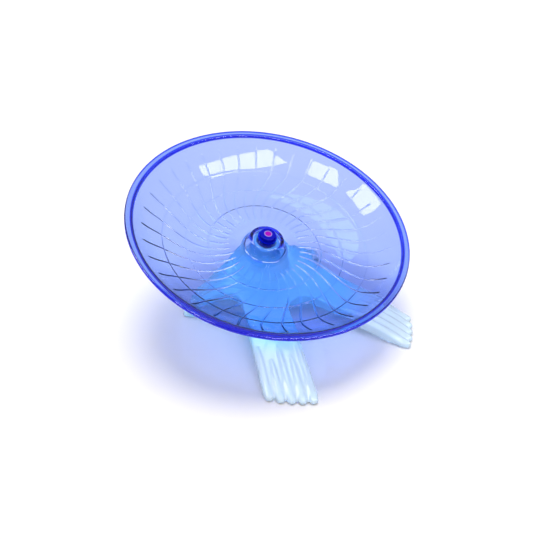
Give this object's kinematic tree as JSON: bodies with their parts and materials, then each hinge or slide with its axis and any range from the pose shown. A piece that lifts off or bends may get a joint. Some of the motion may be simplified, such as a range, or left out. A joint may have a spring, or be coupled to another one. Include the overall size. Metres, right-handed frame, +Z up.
{
  "type": "flying saucer hamster wheel",
  "caption": "Tilted running saucer for a hamster: a clear ribbed bowl that spins on a pin in a low clear stand with toed feet.",
  "frame": {"origin": "on the surface that the stand rests on, under the middle of the whole wheel's box", "axes": "+Z up; -Y towards the side where the tilted saucer is lowest; +X to the right as seen from the low side"},
  "size_m": [0.18, 0.1755, 0.0895],
  "materials": {
    "saucer_plastic": "clear blue, polished",
    "stand_plastic": "clear blue, polished",
    "sleeve_plastic": "white, smooth",
    "cap_plastic": "dark blue, polished",
    "plug_plastic": "magenta, smooth",
    "pin_steel": "ground"
  },
  "bodies": {
    "stand": {"stand": "stand_plastic", "axle_pin": "pin_steel", "thrust_washer": "pin_steel", "push_nut": "pin_steel"},
    "saucer": {"saucer": "saucer_plastic", "bearing_sleeve": "sleeve_plastic", "hub_cap": "cap_plastic", "cap_plug": "plug_plastic"}
  },
  "joints": [
    {"name": "saucer_spin", "type": "hinge", "parent": "stand", "child": "saucer", "pos_m": [0, 0.00144, 0.063], "axis": [0, -0.3007, 0.9537], "continuous": true}
  ]
}
